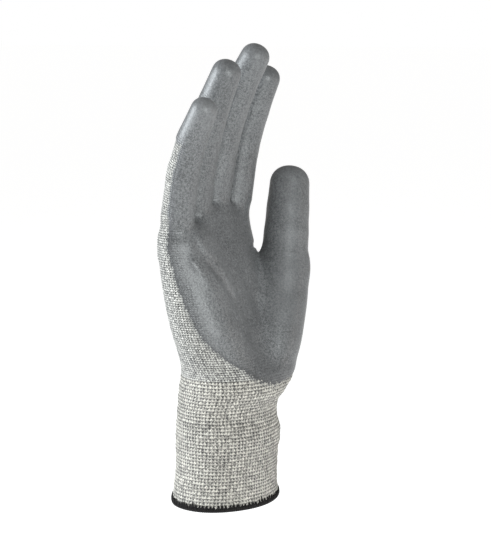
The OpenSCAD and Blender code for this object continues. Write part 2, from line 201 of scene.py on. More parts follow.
# Folds of the skin: two ends, half width and depth; a depth below zero is a ridge
FOLDS = [
    [(-3, -37, 163), (1, -34, 152), 1.7, 1.7], [(1, -34, 152), (5, -30, 140), 2.2, 1.6],
    [(5, -28, 140), (9.5, -20, 128), 3.0, 2.4], [(9.5, -20, 128), (13, -11, 113), 3.2, 1.7],
    [(1, -39, 143), (6, -31, 128), 2.4, -1.3], [(6, -31, 128), (12, -23, 112), 2.6, -1.2],
    [(6, -28, 137), (8.5, -17, 140), 1.6, 1.0],
    [(15, -13, 114), (20, -14, 98), 1.3, 0.8], [(17, -17, 112), (21, -19, 95), 1.3, -0.7],
    [(12, -6, 122), (17, -5, 104), 1.6, 0.5],
    [(11, 6, 130), (17, 13, 104), 5.0, 1.8], [(17, 13, 104), (25, 6, 84), 5.0, 1.4],
    [(1, 4, 158), (4, 22, 150), 3.2, 1.1], [(4, 22, 150), (6, 36, 141), 3.2, 1.0],
    [(26, 28, 78), (14, 38, 76), 1.8, 1.3], [(29, 22, 72), (15, 37, 71), 2.4, -1.5],
    [(33, 6, 69), (20, 33, 67), 1.7, 1.1],
    [(-22, 12, 44), (-26, -6, 47), 2.5, 0.7], [(18, -26, 50), (28, 2, 46), 2.6, 0.9],
    [(26, 12, 45), (10, 34, 49), 2.4, 0.9], [(27, 8, 26), (16, 30, 31), 2.6, 0.8],
    [(-12, -30, 62), (4, -35, 66), 3.0, 0.8],
    [(0, 37, 58), (22, 27, 60), 2.2, 1.1], [(-20, 20, 68), (-24, -12, 64), 3.0, 0.8],
    [(-25, -14, 30), (-25, 14, 34), 3.0, 0.5],
]
FOLD_ENDS = [(np.array(a, float), np.array(b, float) - np.array(a, float), width, deep)
             for a, b, width, deep in FOLDS]


def fold_depth(p):
    depth = np.zeros(len(p))
    for start, run, width, deep in FOLD_ENDS:
        near = np.flatnonzero(np.abs(p[:, 2] - start[2] - run[2] / 2) < abs(run[2]) / 2 + 3 * width)
        if len(near):
            from_start = p[near] - start
            t = np.clip(from_start @ run / np.dot(run, run), 0, 1)
            gap = ((from_start - t[:, None] * run) ** 2).sum(axis=1)
            depth[near] += deep * np.exp(-gap / width**2) * np.sin(math.pi * (0.12 + 0.76 * t))
    return depth


def swell(rows, p):
    z = p[:, 2]
    return np.hypot(p[:, 0] - through(rows, 1, z), p[:, 1] - through(rows, 2, z)) - through(rows, 3, z)


SWELL_BLEND = 9
TOP_ROUNDING = 7


def palm_distance(p):
    x, y, z = p.T
    cx, rx, ry = (through(OVAL, k, z) for k in (1, 2, 3))
    near = np.hypot((x - cx) / rx, y / ry) + 1e-9
    far = np.hypot((x - cx) / rx**2, y / ry**2) + 1e-9
    d = near * (near - 1) / far
    d = soft_min(d, swell(HYPOTHENAR, p), SWELL_BLEND)
    d = soft_min(d, swell(THENAR, p), SWELL_BLEND)
    return -soft_min(-d, through(WEB_EDGE, 1, y) - z, TOP_ROUNDING)


def direction(lean, splay):
    lean, splay = math.radians(lean), math.radians(splay)
    return np.array([math.sin(lean), math.cos(lean) * math.sin(splay), math.cos(lean) * math.cos(splay)])


FOOT_RUN = 22                       # how far a finger's tube carries on down inside the palm
HALF_CURVE = 8                      # half the length over which a finger turns at a joint


class Stall:
    """One finger or thumb: a smooth centre line, the ways to its palm side and its side, its radius."""

    def __init__(self, pivots, leans, splay, last, radii, step=0.25):
        self.splay = splay
        self.lengths = [np.linalg.norm(b - a) for a, b in zip(pivots, pivots[1:])] + [last]
        self.joints = np.cumsum([0] + self.lengths[:-1])
        self.length = sum(self.lengths)
        self.radii = radii
        self.steps = np.arange(0, self.length + step, step)
        ways = np.array([self.way(t) for t in self.steps])
        moves = (ways[1:] + ways[:-1]) / 2 * step
        self.line = pivots[0] + np.vstack([np.zeros(3), np.cumsum(moves, axis=0)])
        self.base = pivots[0]

    def radius(self, t):
        r = np.interp(t, list(self.joints) + [self.length], self.radii)
        knuckle = sum(np.exp(-((t - j) / 5) ** 2) for j in self.joints[1:])
        return np.where(t < 0, self.radii[0] + 0.12 * t, r + 0.25 * knuckle - 0.1)

    def centre(self, t):
        inside = np.stack([np.interp(t, self.steps, self.line[:, k]) for k in range(3)], axis=-1)
        return inside + np.minimum(t, 0)[..., None] * self.way(0)

    def distance(self, p):
        """Distance to the straight foot of the stall, good to about the middle of its first stretch."""
        t = (p - self.base) @ self.way(0)
        away = np.linalg.norm(p - self.base - t[:, None] * self.way(0), axis=1)
        return np.maximum(away - self.radius(np.clip(t, -FOOT_RUN, self.length)), -FOOT_RUN - t)


class Finger(Stall):
    def __init__(self, name, leans, splay, last, web_radius):
        self.leans = leans
        radii = [web_radius - k * RADIUS_STEP for k in range(3)]
        pivots = [pivot(f"{name}_{part}") for part in ("knuckle", "middle_joint", "tip_joint")]
        self.joints = np.cumsum([0] + [np.linalg.norm(b - a) for a, b in zip(pivots, pivots[1:])])
        super().__init__(pivots, leans, splay, last, radii + [radii[2] - TIP_RADIUS_STEP])

    def lean(self, t):
        a, b, c = self.leans
        first, second = (ramp(at - HALF_CURVE, at + HALF_CURVE, t) for at in self.joints[1:])
        return a + (b - a) * first + (c - b) * second

    def way(self, t):
        return direction(self.lean(t), self.splay)

    def palm_way(self, t):
        return direction(self.lean(t) + 90, self.splay)

    def side_way(self, t):
        s = math.radians(self.splay)
        return np.array([0, math.cos(s), -math.sin(s)])


class Thumb(Stall):
    def __init__(self):
        self.pad = -np.array(joint["thumb_swing"]["axis"], float)
        self.side = -np.array(joint["thumb_knuckle"]["axis"], float)
        pivots = [pivot(name) for name in ("thumb_swing", "thumb_knuckle", "thumb_tip_joint")]
        self.straight = unit(pivots[2] - pivots[0])
        super().__init__(pivots, None, 0, THUMB_LAST_STRETCH, THUMB_RADIUS)

    def way(self, t):
        return self.straight

    def palm_way(self, t):
        return self.pad

    def side_way(self, t):
        return self.side


fingers = [Finger(*values) for values in zip(FINGERS, LEANS, SPLAY, LAST_STRETCH, WEB_RADIUS)]
thumb = Thumb()
WEB_BLEND = 5.0
THUMB_BLEND = 3.5
FOLD_REACH = 4                      # folds are reckoned only this near to the surface


def form(p):
    """Distance to the glove's surface, without its folds."""
    d = palm_distance(p)
    tubes = fingers[0].distance(p)
    for finger in fingers[1:]:
        tubes = np.minimum(tubes, finger.distance(p))
    d = soft_min(d, tubes, WEB_BLEND)
    return soft_min(d, thumb.distance(p), THUMB_BLEND)


def surface(p):
    d = form(p)
    near = np.abs(d) < FOLD_REACH
    d[near] += fold_depth(p[near])
    return d


def slope(p, distance=surface, reach=0.35):
    steps = np.eye(3) * reach
    g = np.stack([distance(p + s) - distance(p - s) for s in steps], axis=1) / (2 * reach)
    return g / (np.linalg.norm(g, axis=1, keepdims=True) + 1e-9), np.linalg.norm(g, axis=1)


def settle(p, rounds=3):
    """Moves points onto the surface and returns them with the way outwards."""
    for _ in range(rounds):
        n, steep = slope(p)
        p = p - n * np.clip(surface(p) / np.maximum(steep, 0.4), -1.5, 1.5)[:, None]
    return p, slope(p)[0]


# Edge of the dip on the little finger's side: height, then X; the glove is coated beyond it
DIP_EDGE = table([[60, 45], [66, 38], [70, 33], [75.5, 28], [78, 26], [85, 19.5], [96.5, 9.4], [108, 3],
                  [119, -2], [132, -6.5], [145, -10.3], [163, -13.3], [180, -14]])
# The same edge across the row of fingers: Y, then X
WEB_LINE = table([[-44, -11.5], [-32, -12.0], [-11, -14.6], [10, -15], [32, -13.6], [44, -13.4]])
THUMB_BACK = math.radians(62)       # half the angle left bare on the back of the thumb


def dip_depth(p):
    """How far inside the coated area a point of the palm lies, in millimetres."""
    x, y, z = p.T
    edge = through(DIP_EDGE, 1, z)
    edge = blend_to(edge, through(WEB_LINE, 1, y), ramp(150, 162, z))
    out = -thumb.pad[:2] / np.linalg.norm(thumb.pad[:2])
    high = np.clip(z, 75, 135)
    lean = (np.clip(z, 135, 160) - 135) / thumb.straight[2]
    from_thumb = np.stack([x - through(THENAR, 1, high) - lean * thumb.straight[0],
                           y - through(THENAR, 2, high) - lean * thumb.straight[1]], axis=1)
    away = np.linalg.norm(from_thumb, axis=1)
    turn = np.arccos(np.clip(from_thumb @ out / (away + 1e-9), -1, 1))
    return np.minimum(x - edge, away * (turn - THUMB_BACK))


# ---- Knit look -----------------------------------------------------------------------------------
# Marled yarn: off-white strands twisted with grey and black ones. The pattern reads the piece's own
# UV map, which counts stitches round the glove in U and rows of stitches in V.


class Wire:
    """One output in a shader; sums and products of wires add Math nodes."""

    def __init__(self, tree, socket):
        self.tree, self.socket = tree, socket

    def add_node(self, kind, settings, sockets, output=0):
        made = self.tree.nodes.new(kind)
        for key, value in settings.items():
            setattr(made, key, value)
        for key, value in sockets.items():
            if isinstance(value, Wire):
                self.tree.links.new(value.socket, made.inputs[key])
            else:
                made.inputs[key].default_value = value
        return Wire(self.tree, made.outputs[output])

    def math(self, operation, *others):
        return self.add_node("ShaderNodeMath", {"operation": operation}, dict(enumerate((self,) + others)))

    def __add__(self, other): return self.math("ADD", other)
    def __sub__(self, other): return self.math("SUBTRACT", other)
    def __mul__(self, other): return self.math("MULTIPLY", other)
    def __rsub__(self, other): return (self * -1.0) + other
    __radd__ = __add__
    __rmul__ = __mul__

    def within(self, low, high):
        """0 below low and 1 above high, smooth between."""
        return self.add_node("ShaderNodeMapRange", {"interpolation_type": "SMOOTHSTEP"},
                             {"Value": self, "From Min": low, "From Max": high})

    def noise(self, scale, detail=2.0, rough=0.5):
        return self.add_node("ShaderNodeTexNoise", {}, {"Vector": self, "Scale": scale, "Detail": detail,
                                                        "Roughness": rough})

    def random_cell(self):
        return self.add_node("ShaderNodeTexWhiteNoise", {"noise_dimensions": "3D"}, {"Vector": self})

    def parts(self):
        made = self.tree.nodes.new("ShaderNodeSeparateXYZ")
        self.tree.links.new(self.socket, made.inputs[0])
        return [Wire(self.tree, made.outputs[k]) for k in range(3)]

    def joined(self, y, z=0.0):
        return self.add_node("ShaderNodeCombineXYZ", {}, {"X": self, "Y": y, "Z": z})

    def colours(self, low, high):
        """A colour between two, by this wire."""
        made = self.tree.nodes.new("ShaderNodeMix")
        made.data_type = "RGBA"
        self.tree.links.new(self.socket, made.inputs["Factor"])
        for key, value in (("A", low), ("B", high)):
            place = [s for s in made.inputs if s.name == key and s.type == "RGBA"][0]
            if isinstance(value, Wire):
                self.tree.links.new(value.socket, place)
            else:
                place.default_value = (*value, 1)
        out = [s for s in made.outputs if s.type == "RGBA"][0]
        return Wire(self.tree, out)


def new_material(name):
    material = bpy.data.materials.new(name)
    material.use_nodes = True
    tree = material.node_tree
    shader = tree.nodes["Principled BSDF"]
    start = tree.nodes.new("ShaderNodeTexCoord")
    return material, shader, Wire(tree, start.outputs["UV"]), Wire(tree, start.outputs["Object"])


def into(shader, socket, wire):
    wire.tree.links.new(wire.socket, shader.inputs[socket])


def bumped(shader, height, distance, strength=1.0):
    into(shader, "Normal", height.add_node("ShaderNodeBump", {}, {"Height": height, "Distance": distance,
                                                                 "Strength": strength}))


STITCH_SLANT = 0.3                  # how far a stitch's sides rise over its middle, in rows


def stitch_cells(uv):
    """Across one stitch from its middle (0) to its edge (1), up one row (0 to 1), and its cell."""
    u, v, _ = uv.parts()
    across = (u.math("FRACT") - 0.5).math("ABSOLUTE") * 2.0
    row = v + across * STITCH_SLANT
    leg = u * 2.0
    return across, row.math("FRACT"), leg.math("FLOOR").joined(row.math("FLOOR"))


def edge_wire(uv):
    """How far inside the dip's edge, in millimetres."""
    return uv.add_node("ShaderNodeAttribute", {"attribute_name": "edge"}, {}, "Fac")


def knit_material(name, pale, grey, dark_share):
    material, shader, uv, place = new_material(name)
    across, up, cell = stitch_cells(uv)
    luck = cell.random_cell()
    luck_again = cell.add_node("ShaderNodeVectorMath", {"operation": "ADD"},
                               {0: cell, 1: (17.3, 5.1, 2.0)}).random_cell()
    along_yarn = uv.add_node("ShaderNodeMapping", {}, {"Vector": uv, "Scale": (5.0, 2.2, 1.0)})
    fibre = along_yarn.noise(1.0, 3.0, 0.65)
    blotch = place.noise(60.0, 2.0, 0.5)
    strand = (luck * 0.2 + fibre * 1.45 + blotch * 0.12).within(0.70, 1.06)
    yarn = strand.colours(grey, pale)
    black = (luck_again * 0.5 + fibre * 0.7).within(0.86 - dark_share, 1.0 - dark_share) * 0.75
    yarn = black.colours(yarn, (0.06, 0.06, 0.062))
    between = (up - 0.5).math("ABSOLUTE") * 2.0
    # Painted shade: the gaps between rows and between stitches are darkened almost to black.
    gap_shade = (between * 0.60 + across * 0.50).within(0.50, 0.74) * (0.45 + luck_again * 0.55)
    soaked = edge_wire(uv).within(-1.8, -0.2) * 0.35
    yarn = gap_shade.colours(yarn, (0.02, 0.02, 0.021))
    into(shader, "Base Color", soaked.colours(yarn, (0.13, 0.135, 0.138)))
    height = (1.0 - between * between) * (1.0 - across * across * 0.5) + fibre * 0.4
    bumped(shader, height, 0.0006, 0.8)
    shader.inputs["Roughness"].default_value = 0.85
    shader.inputs["Sheen Weight"].default_value = 0.1
    return material


cuff_yarn = knit_material("cuff_yarn", (0.63, 0.605, 0.545), (0.135, 0.13, 0.12), 0.06)
hand_yarn = knit_material("hand_yarn", (0.66, 0.65, 0.61), (0.11, 0.11, 0.107), 0.10)


# ---- Making a layer of cloth ---------------------------------------------------------------------
# Each piece is a closed layer: an outer skin, the same skin set inwards by the layer's thickness,
# and a rim of faces round its open edges.

NONE = -1                           # stands in for a triangle's fourth corner


def mesh_of(name, points, faces):
    """A mesh from points and rows of four corners, the last one NONE in a triangle."""
    mesh = bpy.data.meshes.new(name)
    mesh.vertices.add(len(points))
    mesh.vertices.foreach_set("co", (points * MM).astype(np.float32).ravel())
    sides = np.where(faces[:, 3] == NONE, 3, 4)
    corners = faces.ravel()[faces.ravel() != NONE]
    mesh.loops.add(len(corners))
    mesh.loops.foreach_set("vertex_index", corners.astype(np.int32))
    mesh.polygons.add(len(faces))
    starts = np.concatenate([[0], np.cumsum(sides)[:-1]])
    mesh.polygons.foreach_set("loop_start", starts.astype(np.int32))
    mesh.update(calc_edges=True)
    return mesh, corners, starts, sides


def edges_of(faces):
    """Every face's sides, as first and second corner, and which of the four are real."""
    triangle = faces[:, 3] == NONE
    after = np.roll(faces, -1, 1)
    after[triangle, 2] = faces[triangle, 0]
    pairs = np.stack([faces, after], axis=-1)
    return pairs, faces != NONE


def reversed_faces(faces):
    flipped = faces[:, ::-1].copy()
    triangle = faces[:, 3] == NONE
    flipped[triangle] = np.stack([faces[triangle, k] for k in (2, 1, 0, 3)], axis=1)
    return flipped


FAR_OUTSIDE = -99.0                 # the edge attribute of a layer that the dip doesn't reach


def layer(name, points, outward, faces, uv, thickness, material, edge=None, smooth_out=True):
    count = len(points)
    inner = points - outward * thickness
    pairs, real = edges_of(faces)
    pairs = pairs[real]
    forward = pairs[:, 0].astype(np.int64) * count + pairs[:, 1]
    backward = pairs[:, 1].astype(np.int64) * count + pairs[:, 0]
    rim = pairs[~np.isin(forward, backward)]
    walls = np.stack([rim[:, 1], rim[:, 0], rim[:, 0] + count, rim[:, 1] + count], axis=1)
    back = reversed_faces(faces)
    back = np.where(back == NONE, NONE, back + count)
    mesh, corners, starts, sides = mesh_of(name, np.vstack([points, inner]), np.vstack([faces, back, walls]))
    stitches = np.vstack([uv, uv])[corners]
    highest = np.repeat(np.maximum.reduceat(stitches[:, 0], starts), sides)
    wales = uv[:, 0].max() - uv[:, 0].min()
    stitches[:, 0] += np.where(highest - stitches[:, 0] > wales / 2, np.round(wales), 0)
    mesh.uv_layers.new(name="stitches").data.foreach_set("uv", stitches.astype(np.float32).ravel())
    edge = np.full(count, FAR_OUTSIDE) if edge is None else edge
    mesh.attributes.new("edge", "FLOAT", "POINT").data.foreach_set(
        "value", np.concatenate([edge, edge]).astype(np.float32))
    mesh.shade_smooth()
    if smooth_out:
        mesh.normals_split_custom_set_from_vertices(np.vstack([outward, -outward]).tolist())
    mesh.materials.append(material)
    piece = bpy.data.objects.new(name, mesh)
    bpy.context.scene.collection.objects.link(piece)
    return piece


def grid_faces(rows, columns):
    here = np.arange(rows * columns).reshape(rows, columns)
    a, b = here[:-1], here[1:]
    return np.stack([a, np.roll(a, -1, 1), np.roll(b, -1, 1), b], axis=-1).reshape(-1, 4)


def stitch_height(u, v):
    """Height of the knit over one stitch: raised loops, sunk between rows and between stitches."""
    across = np.abs(u % 1 - 0.5) * 2
    up = np.abs((v + STITCH_SLANT * across) % 1 - 0.5) * 2
    return (1 - up**2) * (1 - 0.5 * across**2) - 0.45


def oval_turn(p):
    """The way round the oval, from the middle of the back, evened out so stitches keep their width."""
    x, y, z = p.T
    cx, rx, ry = (through(OVAL, k, z) for k in (1, 2, 3))
    a = np.arctan2(y / ry, -(x - cx) / rx)
    return a + 0.5 * (ry - rx) / (ry + rx) * np.sin(2 * a)


# ---- Cuff and wrist ------------------------------------------------------------------------------
# A tube of coarse knit, closed by its own elastic threads. It is rigid round the forearm, and at the
# wrist the heel of the hand pushes it outward.

CUFF_WALES = 96
CUFF_ROW = 1.9                     # height of one row of stitches
CUFF_RELIEF = 0.30
SLEEVE_STEP, SLEEVE_COLUMNS = 0.46, 430
KNIT_THICK = 1.3
HEM_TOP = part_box("hem_overlock")[1].z / MM
TILT_Z = pivot("wrist_tilt")[2]
BEND_Z = pivot("wrist_bend")[2]
TILT_HALF = 9
WRIST_TOP = BEND_Z + 14


def sleeve_skin(low, high, step, columns):
    rows = int(round((high - low) / step)) + 1
    z = np.repeat(np.linspace(low, high, rows), columns)
    turn = np.tile(np.arange(columns) * 2 * math.pi / columns, rows)
    cx, rx, ry = (through(OVAL, k, z) for k in (1, 2, 3))
    p = np.stack([cx - rx * np.cos(turn), ry * np.sin(turn), z], axis=1)
    for _ in range(5):
        n, steep = slope(p)
        flat = n * np.array([1, 1, 0])
        flat /= np.linalg.norm(flat, axis=1, keepdims=True)
        p = p - flat * (surface(p) / np.maximum(steep, 0.4))[:, None]
    return p, slope(p)[0], reversed_faces(grid_faces(rows, columns))


def sleeve_knit(name, low, high):
    p, n, faces = sleeve_skin(low, high, SLEEVE_STEP, SLEEVE_COLUMNS)
    uv = np.stack([CUFF_WALES * oval_turn(p) / (2 * math.pi), p[:, 2] / CUFF_ROW], axis=1)
    uneven = 0.12 * np.sin(p[:, 2] * 0.9 + 3 * np.sin(uv[:, 0] * 0.21)) + 0.1 * np.sin(uv[:, 0] * 0.37)
    p = p + n * (CUFF_RELIEF * stitch_height(*uv.T) + uneven)[:, None]
    return layer(name, p, n, faces, uv, KNIT_THICK, cuff_yarn, edge=dip_depth(p),
                 smooth_out=False)


def metres(p):
    return tuple(float(v) * MM for v in p)


cuff = sleeve_knit("cuff_knit_tube", HEM_TOP - 1.2, TILT_Z - TILT_HALF)
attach(cuff, "cuff")
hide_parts("cuff_knit")

tilt_knit = sleeve_knit("wrist_tilt_knit", TILT_Z - TILT_HALF, TILT_Z + TILT_HALF)
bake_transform(tilt_knit)

bend_knit = sleeve_knit("wrist_bend_knit", TILT_Z + TILT_HALF, WRIST_TOP)
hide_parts("wrist_band_knit")
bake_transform(bend_knit)

# ---- Hem -----------------------------------------------------------------------------------------
# Black overlocking thread wraps the raw edge of the cuff: a rolled edge of close wraps, and stitches
# that bite up into the knit all round.

HEM_WRAPS = 168
ROUND_A_WRAP = 5                    # points round the hem for each wrap of thread
HEM_BITES = 86


def thread_material(name, colour, turns):
    material, shader, uv, place = new_material(name)
    twist = uv.add_node("ShaderNodeMapping", {}, {"Vector": uv, "Scale": (turns, turns * 0.7, 1)})
    ply = twist.noise(1.0, 2.0)
    fuzz = place.noise(900.0, 2.0)
    into(shader, "Base Color", (ply * 0.6 + fuzz * 0.4).within(0.3, 0.75).colours(
        tuple(c * 0.6 for c in colour), tuple(min(1, c * 1.6) for c in colour)))
    bumped(shader, ply + fuzz * 0.5, 0.0002, 0.8)
    shader.inputs["Roughness"].default_value = 0.75
    shader.inputs["Specular IOR Level"].default_value = 0.25
    return material


hem_black = thread_material("hem_black", (0.006, 0.005, 0.005), 3.0)


def tube_mesh(path, radius, sides=6, closed=False):
    """Points and faces of a round thread along a path, its ends closed."""
    path = np.array(path, float)
    ahead = np.roll(path, -1, 0) - np.roll(path, 1, 0)
    if not closed:
        ahead[0], ahead[-1] = path[1] - path[0], path[-1] - path[-2]
    ahead /= np.linalg.norm(ahead, axis=1, keepdims=True)
    out = path * np.array([1, 1, 0])
    out /= np.linalg.norm(out, axis=1, keepdims=True)
    a = out - ahead * np.sum(out * ahead, axis=1, keepdims=True)
    a /= np.linalg.norm(a, axis=1, keepdims=True)
    b = np.cross(ahead, a)
    turn = np.arange(sides) * 2 * math.pi / sides
    ring = np.cos(turn)[None, :, None] * a[:, None] + np.sin(turn)[None, :, None] * b[:, None]
    points = (path[:, None] + radius * ring).reshape(-1, 3)
    count = len(path)
    spans = count if closed else count - 1
    faces = [(i * sides + j, i * sides + (j + 1) % sides, (i + 1) % count * sides + (j + 1) % sides,
              (i + 1) % count * sides + j) for i in range(spans) for j in range(sides)]
    if not closed:
        for j in range(1, sides - 1):
            end = (count - 1) * sides
            faces += [(0, j + 1, j, NONE), (end, end + j, end + j + 1, NONE)]
    return points, np.array(faces)


def threads(name, tubes, material):
    points, faces, used = [], [], 0
    for p, f in tubes:
        points.append(p)
        faces.append(np.where(f == NONE, NONE, f + used))
        used += len(p)
    mesh, corner, _, _ = mesh_of(name, np.vstack(points), np.vstack(faces))
    p = np.vstack(points)[corner]
    uv = np.stack([np.arctan2(p[:, 1], -p[:, 0]) * 30, p[:, 2]], axis=1)
    mesh.uv_layers.new(name="stitches").data.foreach_set("uv", uv.astype(np.float32).ravel())
    mesh.shade_smooth()
    mesh.materials.append(material)
    piece = bpy.data.objects.new(name, mesh)
    bpy.context.scene.collection.objects.link(piece)
    return piece


def on_hem(turn, z, out):
    cx, rx, ry = (through(OVAL, k, z) for k in (1, 2, 3))
    return np.stack([cx - (rx + out) * np.cos(turn), (ry + out) * np.sin(turn), z + 0 * turn], axis=-1)


def hem_roll():
    columns, sides = HEM_WRAPS * ROUND_A_WRAP, 14
    along = np.repeat(np.arange(columns), sides)
    turn = along * 2 * math.pi / columns
    round_it = np.tile(np.arange(sides) * 2 * math.pi / sides, columns)
    wrap = np.abs(np.sin(math.pi * (along / ROUND_A_WRAP + 0.35 * np.cos(round_it))))
    fat = 0.92 + 0.22 * wrap + 0.1 * np.sin(turn * 3 + 1) ** 2
    out = -KNIT_THICK / 2 + 1.12 * fat * np.cos(round_it)
    z = 1.35 + 1.35 * fat * np.sin(round_it)
    points = on_hem(turn, np.clip(z, 0.02, 9), out)
    here = np.arange(columns * sides).reshape(columns, sides)
    nxt = np.roll(here, -1, 0)
    return points, np.stack([here, nxt, np.roll(nxt, -1, 1), np.roll(here, -1, 1)], axis=-1).reshape(-1, 4)


def hem_bite(k):
    middle = (k + 0.5 + 0.12 * math.sin(k * 2.3)) * 2 * math.pi / HEM_BITES
    tall = 4.0 + 0.45 * math.sin(k * 1.7) + 0.35 * math.sin(k * 0.61)
    lean = 0.30 / HEM_BITES * 2 * math.pi
    places = [(-lean, 1.2, 0.45), (-lean * 0.7, 2.6, 0.62), (0, tall, 0.5), (lean * 0.7, 2.6, 0.62),
              (lean, 1.2, 0.45)]
    return [on_hem(np.array(middle + a), z, out) for a, z, out in places]


hem = threads("overlocked_hem", [hem_roll()] + [tube_mesh(hem_bite(k), 0.42) for k in range(HEM_BITES)],
              hem_black)
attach(hem, "cuff")
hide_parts("hem_overlock")

# ---- Elastic threads -----------------------------------------------------------------------------
# Covered rubber threads laid in against the inside of the cuff at even heights; they close it on
# the forearm. Each is a ring with the slow twist of its cover.

elastic_white = thread_material("elastic_white", (0.62, 0.60, 0.55), 6.0)
elastic_low, elastic_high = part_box("cuff_elastic")
ELASTIC_COUNT = 6
ELASTIC_R = 0.4
heights = np.linspace(elastic_low.z / MM + ELASTIC_R, elastic_high.z / MM - ELASTIC_R, ELASTIC_COUNT)


def elastic_ring(z):
    turn = np.arange(300) * 2 * math.pi / 300
    wave = 0.05 * np.sin(turn * 60)
    return tube_mesh(on_hem(turn, z + wave, -KNIT_THICK - ELASTIC_R - 0.3), ELASTIC_R, 8, closed=True)


elastic = threads("cuff_elastic_threads", [elastic_ring(z) for z in heights], elastic_white)
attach(elastic, "cuff")
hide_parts("cuff_elastic")

# ---- Coating look --------------------------------------------------------------------------------
# Grey foamed polyurethane, semi-matt. The knit shows through it as fine grain, stronger near the
# edge of the dip, where it thins out over the stitches. The hollows between stitches get painted
# shade, strongest there.


def coating_material():
    material, shader, uv, place = new_material("dipped_coating")
    across, up, cell = stitch_cells(uv)
    edge = edge_wire(uv)
    thin = 1.0 - edge.within(0.0, 9.0)
    luck = cell.random_cell()
    grain = place.noise(900.0, 3.0, 0.6)
    broad = place.noise(45.0, 2.0)
    fine = place.noise(2100.0, 2.0, 0.6)
    between = (up - 0.5).math("ABSOLUTE") * 2.0
    stitch = (1.0 - between * between) * (1.0 - across * across * 0.6)
    smooth = 1.0 - edge.within(8.0, 30.0) * 0.65
    speckle = ((grain - 0.5) * 1.5 + (fine - 0.5) * 1.5) * smooth
    tone = (speckle + broad * 0.4 + 0.8).within(0.6, 1.4)
    paint = tone.colours((0.051, 0.053, 0.055), (0.168, 0.172, 0.176))
    # Painted shade: the hollows between stitches are darkened, more where the coating is thin.
    hollow_shade = (1.0 - stitch).within(0.35, 0.95) * (thin * 0.55 + 0.08)
    paint = hollow_shade.colours(paint, (0.045, 0.045, 0.046))
    rim = (1.0 - edge.within(0.2, 2.6)) * (luck * 0.5 + 0.4)
    into(shader, "Base Color", rim.colours(paint, (0.05, 0.051, 0.053)))
    into(shader, "Roughness", broad * 0.14 + grain * 0.12 + 0.29)
    height = stitch * (thin * 0.7 + 0.12) + grain * 0.8 + fine * 0.25
    bumped(shader, height, 0.00022, 0.85)
    shader.inputs["IOR"].default_value = 1.48
    shader.inputs["Sheen Weight"].default_value = 0.06
    return material


coating = coating_material()
COAT_THICK = 0.55
COAT_PROUD = 0.48                   # how far the coating stands over the knit
COAT_TUCK = 0.55                    # how far its thin edge sinks below the top of the stitches
COAT_START = -2.4                   # the sunk edge starts this far outside the dip


def coat_offset(depth, wobble):
    return blend_to(-COAT_TUCK, COAT_PROUD, ramp(-1.6, 1.8, depth + wobble))


def stitch_wobble(uv):
    """Ragged edge of the dip: it climbs over some stitches and stops short at others."""
    cell = np.floor(uv[:, 0]) * 12.9898 + np.floor(uv[:, 1]) * 78.233
    return (np.sin(cell) * 43758.5453 % 1 - 0.5) * 1.1


# ---- Palm and back of the hand -------------------------------------------------------------------
# Finer knit than the cuff's, in one piece from the wrist to the webs between the fingers. The skin
# is found on a grid of cubes, one point in each cube that the surface crosses, then cut off square
# at the wrist, at each finger's foot and at the thumb's foot.

HAND_WALES = 122
HAND_ROW = 1.3
HAND_RELIEF = 0.22
FINGER_FOOT = 2.0
THUMB_FOOT = 3.0
FINGER_REACH = 0.85                 # how far round its tube a finger's cut reaches
THUMB_REACH = 6
HAND_TOP = 178
CUBE = 0.95


def skin_on_cubes(low, high):
    axes = [np.arange(a, b, CUBE) for a, b in zip(low, high)]
    grid = np.stack(np.meshgrid(*axes, indexing="ij"), axis=-1)
    shape = grid.shape[:3]
    d = surface(grid.reshape(-1, 3)).reshape(shape)
    total = np.zeros([n - 1 for n in shape] + [3])
    hits = np.zeros([n - 1 for n in shape])
    crossings = []
    for axis in range(3):
        step = np.eye(3, dtype=int)[axis]
        first = tuple(slice(0, n - s) for n, s in zip(shape, step))
        second = tuple(slice(s, n) for n, s in zip(shape, step))
        cross = (d[first] < 0) != (d[second] < 0)
        share = d[first] / (d[first] - d[second] + 1e-12)
        point = grid[first] + share[..., None] * step * CUBE
        where = np.argwhere(cross)
        crossings.append((axis, where, d[first][cross] < 0))
        others = [k for k in range(3) if k != axis]
        for back_a in (0, 1):
            for back_b in (0, 1):
                cell = where.copy()
                cell[:, others[0]] -= back_a
                cell[:, others[1]] -= back_b
                ok = np.all((cell >= 0) & (cell < np.array(hits.shape)), axis=1)
                c = tuple(cell[ok].T)
                np.add.at(total, c, point[cross][ok])
                np.add.at(hits, c, 1)
    number = np.full(hits.shape, -1)
    used = hits > 0
    number[used] = np.arange(used.sum())
    points = total[used] / hits[used][:, None]
    faces = []
    for axis, where, inside in crossings:
        u, v = (axis + 1) % 3, (axis + 2) % 3
        corners = []
        for a, b in ((1, 1), (0, 1), (0, 0), (1, 0)):
            cell = where.copy()
            cell[:, u] -= a
            cell[:, v] -= b
            corners.append(cell)
        ok = np.all([np.all((c >= 0) & (c < np.array(hits.shape)), axis=1) for c in corners], axis=0)
        quad = np.stack([number[tuple(c[ok].T)] for c in corners], axis=1)
        quad[~inside[ok]] = quad[~inside[ok]][:, ::-1]
        faces.append(quad)
    return points, np.vstack(faces)


hand_points, hand_quads = skin_on_cubes((-38, -50, WRIST_TOP - 2.5), (40, 64, 184))
hand_points, _ = settle(hand_points)

hand = bmesh.new()
for p in hand_points.tolist():
    hand.verts.new(p)
hand.verts.ensure_lookup_table()
for quad in hand_quads.tolist():
    hand.faces.new([hand.verts[v] for v in quad])


def cut_off(keep_out, at, way):
    """Removes what lies beyond a plane, among the faces that keep_out picks by their centres."""
    faces = [f for f in hand.faces if keep_out(np.array(f.calc_center_median()))]
    parts = set(faces) | {e for f in faces for e in f.edges} | {v for f in faces for v in f.verts}
    bmesh.ops.bisect_plane(hand, geom=list(parts), plane_co=at, plane_no=way, clear_outer=True)


